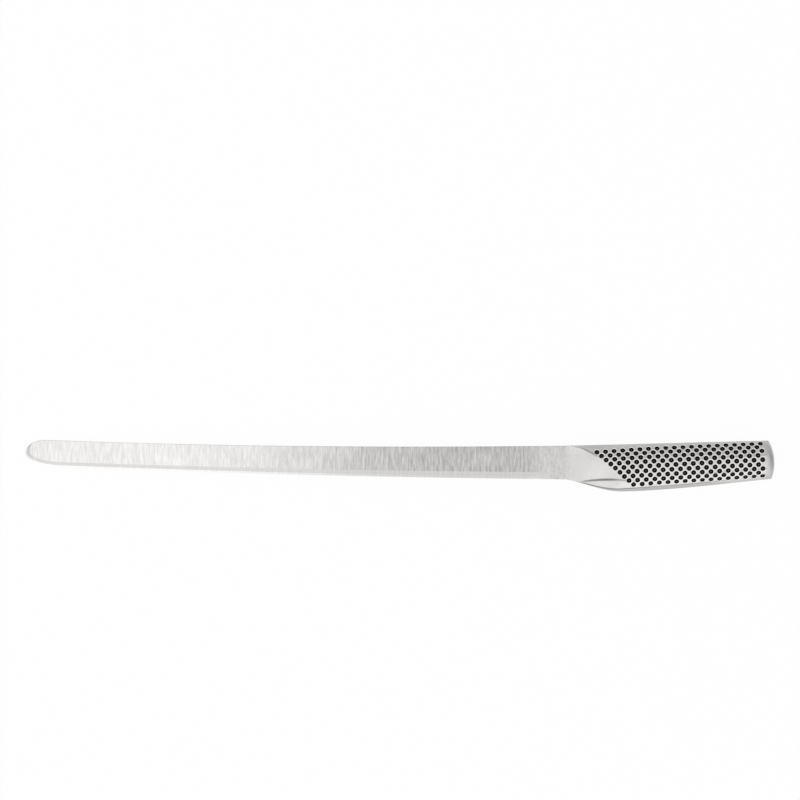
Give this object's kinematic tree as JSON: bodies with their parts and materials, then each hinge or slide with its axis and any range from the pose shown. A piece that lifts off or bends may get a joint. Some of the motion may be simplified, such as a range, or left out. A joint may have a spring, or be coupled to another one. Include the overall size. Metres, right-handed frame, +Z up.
{
  "type": "salmon slicing knife",
  "caption": "All-steel slicing knife with a long flexible round-nosed blade and a hollow, sand-weighted, dimpled grip handle, lying on its side.",
  "frame": {"origin": "on the surface that the knife lies on, under the middle of its outline", "axes": "+X along the knife from the nose to the butt, +Y from the cutting edge to the spine, +Z up from the surface, out of the knife's left side; the knife leans 1.3 degrees nose-down because it lies on the front of its right cheek and on its nose"},
  "size_m": [0.4456, 0.0306, 0.0189],
  "materials": {
    "blade_steel": "satin",
    "handle_steel": "satin",
    "weld_steel": "satin",
    "ballast_sand": "matte",
    "dimple_enamel": "gloss"
  },
  "bodies": {
    "root": {"blade": "blade_steel", "handle_shell_left": "handle_steel", "handle_shell_right": "handle_steel", "sand_fill": "ballast_sand", "neck_weld": "weld_steel", "spine_seam_weld": "weld_steel", "belly_seam_weld": "weld_steel", "butt_seam_weld": "weld_steel"}
  },
  "joints": []
}
